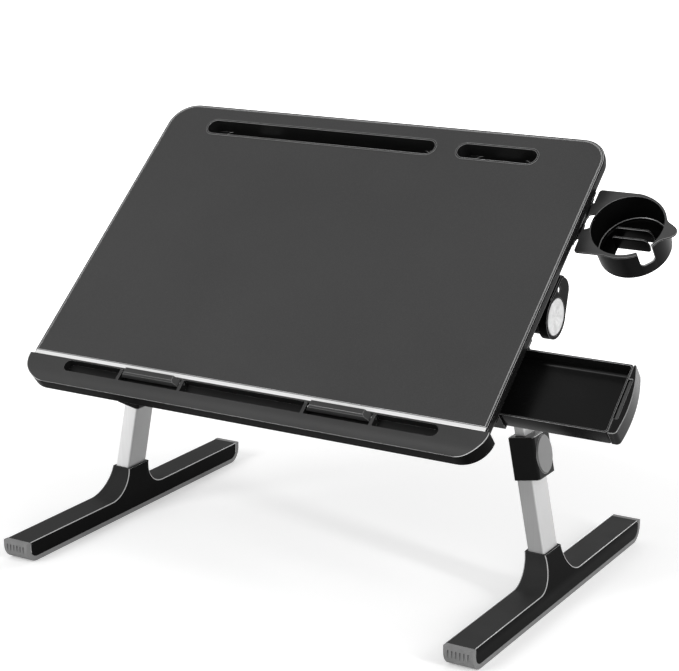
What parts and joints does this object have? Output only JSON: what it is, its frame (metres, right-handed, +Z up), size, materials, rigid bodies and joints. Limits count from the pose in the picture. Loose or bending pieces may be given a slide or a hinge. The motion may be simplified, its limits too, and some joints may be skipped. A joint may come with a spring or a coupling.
{
  "type": "laptop bed table",
  "caption": "Tilting laptop table for a bed or sofa: framed desk on folding, sliding legs, with device slots, flip-up stops, a side drawer and a slide-out cup holder.",
  "frame": {"origin": "middle of the plan box, on the floor under the soles", "axes": "+X to the user's right along the tilt axis, +Y away from the user, +Z up"},
  "size_m": [0.7448, 0.455, 0.5074],
  "materials": {
    "desk_film": "matte charcoal film on board, fine grain",
    "strip_silver": "satin silver",
    "rail_plastic": "satin black moulded",
    "tray_plastic": "semi-gloss black moulded",
    "slot_plastic": "satin black moulded",
    "drawer_plastic": "semi-gloss black moulded",
    "cup_plastic": "satin black moulded",
    "hinge_plastic": "satin black moulded",
    "collar_plastic": "semi-gloss black moulded",
    "button_white": "satin light grey",
    "button_grey": "satin mid grey",
    "leg_aluminium": "satin anodised",
    "foot_plastic": "fine-textured black moulded",
    "sole_rubber": "matte grey",
    "steel": "plated"
  },
  "bodies": {
    "desk": {"desk_panel": "desk_film", "under_tray": "tray_plastic", "accent_strip": "strip_silver", "front_rail": "rail_plastic", "rail_screws": "steel", "stop_hinge_pins": "steel", "tablet_slot_liner": "slot_plastic", "phone_slot_liner": "slot_plastic", "tablet_slot_well": "tray_plastic", "phone_slot_well": "tray_plastic", "stiffener_front": "tray_plastic", "stiffener_rear": "tray_plastic", "tray_screws": "steel", "drawer_housing": "drawer_plastic", "drawer_runners": "drawer_plastic", "cup_rails": "tray_plastic", "hinge_bracket_right": "hinge_plastic", "tilt_bezel_right": "hinge_plastic", "tilt_spring_right": "steel", "hinge_bracket_left": "hinge_plastic", "tilt_bezel_left": "hinge_plastic", "tilt_spring_left": "steel"},
    "drawer": {"drawer_tray": "drawer_plastic", "drawer_grip": "drawer_plastic"},
    "cup": {"cup_holder": "cup_plastic"},
    "stop_left": {"stop_bar_left": "rail_plastic"},
    "stop_right": {"stop_bar_right": "rail_plastic"},
    "tilt_button_right": {"tilt_button_right": "button_white"},
    "tilt_core_right": {"tilt_core_right": "steel"},
    "yoke_right": {"fold_yoke_right": "hinge_plastic", "yoke_screw_right": "steel", "fold_pin_right": "steel"},
    "upper_leg_right": {"leg_knuckle_right": "hinge_plastic", "inner_tube_right": "leg_aluminium"},
    "lower_leg_right": {"outer_tube_right": "leg_aluminium", "tube_bush_right": "hinge_plastic", "clamp_collar_right": "collar_plastic", "height_spring_right": "steel", "foot_right": "foot_plastic", "foot_sole_right": "sole_rubber", "foot_screws_right": "steel"},
    "height_button_right": {"height_button_right": "button_grey"},
    "tilt_button_left": {"tilt_button_left": "button_white"},
    "tilt_core_left": {"tilt_core_left": "steel"},
    "yoke_left": {"fold_yoke_left": "hinge_plastic", "yoke_screw_left": "steel", "fold_pin_left": "steel"},
    "upper_leg_left": {"leg_knuckle_left": "hinge_plastic", "inner_tube_left": "leg_aluminium"},
    "lower_leg_left": {"outer_tube_left": "leg_aluminium", "tube_bush_left": "hinge_plastic", "clamp_collar_left": "collar_plastic", "height_spring_left": "steel", "foot_left": "foot_plastic", "foot_sole_left": "sole_rubber", "foot_screws_left": "steel"},
    "height_button_left": {"height_button_left": "button_grey"}
  },
  "joints": [
    {"name": "drawer", "type": "slide", "parent": "desk", "child": "drawer", "axis": [-1, 0, 0], "range_m": [-0.01, 0.124]},
    {"name": "cup", "type": "slide", "parent": "desk", "child": "cup", "axis": [-1, 0, 0], "range_m": [0, 0.11]},
    {"name": "stop_left", "type": "hinge", "parent": "desk", "child": "stop_left", "pos_m": [-0.1818, -0.17803, 0.243], "axis": [1, 0, 0], "range_deg": [0, 90]},
    {"name": "stop_right", "type": "hinge", "parent": "desk", "child": "stop_right", "pos_m": [0.0682, -0.17803, 0.243], "axis": [1, 0, 0], "range_deg": [0, 90]},
    {"name": "tilt_button_right", "type": "slide", "parent": "desk", "child": "tilt_button_right", "axis": [-1, 0, 0], "range_m": [0, 0.0035], "stiffness_N_per_m": 800, "deforming": ["tilt_spring_right"]},
    {"name": "tilt_right", "type": "hinge", "parent": "desk", "child": "tilt_core_right", "pos_m": [0.2162, -0.0055, 0.3336], "axis": [-1, 0, 0], "range_deg": [-40, 0]},
    {"name": "level_right", "type": "hinge", "parent": "tilt_core_right", "child": "yoke_right", "pos_m": [0.2162, -0.0055, 0.3336], "axis": [1, 0, 0], "range_deg": [0, 40]},
    {"name": "fold_right", "type": "hinge", "parent": "yoke_right", "child": "upper_leg_right", "pos_m": [0.1812, -0.0055, 0.3336], "axis": [0, 1, 0], "range_deg": [0, 97]},
    {"name": "height_right", "type": "slide", "parent": "upper_leg_right", "child": "lower_leg_right", "axis": [-0.1891, 0, 0.982], "range_m": [-0.015, 0.106]},
    {"name": "height_button_right", "type": "slide", "parent": "lower_leg_right", "child": "height_button_right", "axis": [-0.982, 0, -0.1891], "range_m": [0, 0.003], "stiffness_N_per_m": 800, "deforming": ["height_spring_right"]},
    {"name": "tilt_button_left", "type": "slide", "parent": "desk", "child": "tilt_button_left", "axis": [1, 0, 0], "range_m": [0, 0.0035], "stiffness_N_per_m": 800, "deforming": ["tilt_spring_left"]},
    {"name": "tilt_left", "type": "hinge", "parent": "desk", "child": "tilt_core_left", "pos_m": [-0.3298, -0.0055, 0.3336], "axis": [-1, 0, 0], "range_deg": [-40, 0]},
    {"name": "level_left", "type": "hinge", "parent": "tilt_core_left", "child": "yoke_left", "pos_m": [-0.3298, -0.0055, 0.3336], "axis": [1, 0, 0], "range_deg": [0, 40]},
    {"name": "fold_left", "type": "hinge", "parent": "yoke_left", "child": "upper_leg_left", "pos_m": [-0.2948, -0.0055, 0.3336], "axis": [0, -1, 0], "range_deg": [0, 97]},
    {"name": "height_left", "type": "slide", "parent": "upper_leg_left", "child": "lower_leg_left", "axis": [0.1891, 0, 0.982], "range_m": [-0.015, 0.106]},
    {"name": "height_button_left", "type": "slide", "parent": "lower_leg_left", "child": "height_button_left", "axis": [0.982, 0, -0.1891], "range_m": [0, 0.003], "stiffness_N_per_m": 800, "deforming": ["height_spring_left"]}
  ],
  "couplings": [
    {"joint": "level_right", "follows": "fold_right", "ratio": 0.41237},
    {"joint": "level_left", "follows": "fold_left", "ratio": 0.41237}
  ]
}
